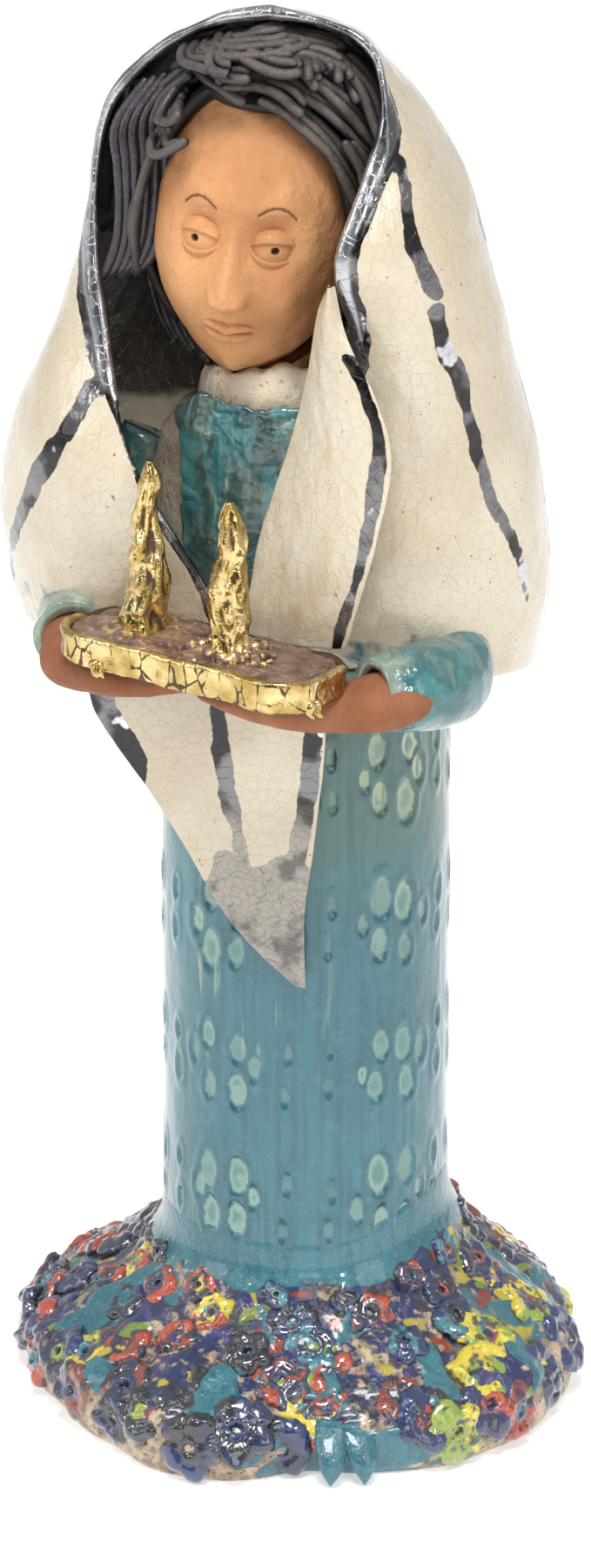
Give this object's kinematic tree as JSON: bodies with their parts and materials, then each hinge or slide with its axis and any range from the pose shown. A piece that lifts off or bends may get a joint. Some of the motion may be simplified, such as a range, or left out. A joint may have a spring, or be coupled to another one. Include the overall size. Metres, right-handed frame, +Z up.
{
  "type": "ceramic figurine",
  "caption": "Hand-built glazed clay figurine of a standing woman in a hooded, silver-striped shawl, holding a tray of gilded candles, on a mound covered in flowers.",
  "frame": {"origin": "centre of the whole figure's footprint, on the floor under the mound", "axes": "+Z up the dress tube towards the hood, -Y the way the figure faces, +X the figure's left"},
  "size_m": [0.1209, 0.1305, 0.2999],
  "materials": {
    "teal_glaze": "glossy turquoise glaze, brushed, with paler stamped ovals",
    "cream_glaze": "glossy cream crackle glaze with stripes of silver lustre",
    "terracotta": "bare matt red clay",
    "hair_clay": "dark slip with a low sheen",
    "gold_lustre": "mirror-bright gold lustre over glaze, cracked",
    "brown_lustre": "dark brown lustre, half matt",
    "flower_glaze": "thick glossy glazes: blue, black, red, yellow, green",
    "mound_glaze": "mixed dark glazes over bare buff clay"
  },
  "bodies": {
    "root": {"base_mound": "mound_glaze", "flower_01": "flower_glaze", "flower_02": "flower_glaze", "flower_03": "flower_glaze", "flower_04": "flower_glaze", "flower_05": "flower_glaze", "flower_06": "flower_glaze", "flower_07": "flower_glaze", "flower_08": "flower_glaze", "flower_09": "flower_glaze", "flower_10": "flower_glaze", "flower_11": "flower_glaze", "flower_12": "flower_glaze", "flower_13": "flower_glaze", "flower_14": "flower_glaze", "flower_15": "flower_glaze", "flower_16": "flower_glaze", "flower_17": "flower_glaze", "flower_18": "flower_glaze", "flower_19": "flower_glaze", "flower_20": "flower_glaze", "glaze_drip_left": "teal_glaze", "glaze_drip_right": "teal_glaze", "dress_tube": "teal_glaze", "torso": "cream_glaze", "collar": "cream_glaze", "bodice_front": "teal_glaze", "neck": "terracotta", "head": "terracotta", "eye_left": "terracotta", "eye_right": "terracotta", "nose": "terracotta", "upper_lip": "terracotta", "lower_lip": "terracotta", "hair_cap": "hair_clay", "hair_coil_1": "hair_clay", "hair_coil_2": "hair_clay", "hair_coil_3": "hair_clay", "hair_lock_left_1": "hair_clay", "hair_lock_left_2": "hair_clay", "hair_lock_right_1": "hair_clay", "hair_lock_right_2": "hair_clay", "shawl": "cream_glaze", "shawl_lapel": "cream_glaze", "shawl_tail": "cream_glaze", "sleeve_left": "teal_glaze", "sleeve_right": "teal_glaze", "hand_left": "terracotta", "hand_right": "terracotta", "tray_board": "brown_lustre", "tray_rim": "gold_lustre", "candle_left": "gold_lustre", "candle_right": "gold_lustre", "flame_left": "gold_lustre", "flame_right": "gold_lustre", "candle_wax_left": "brown_lustre"}
  },
  "joints": []
}
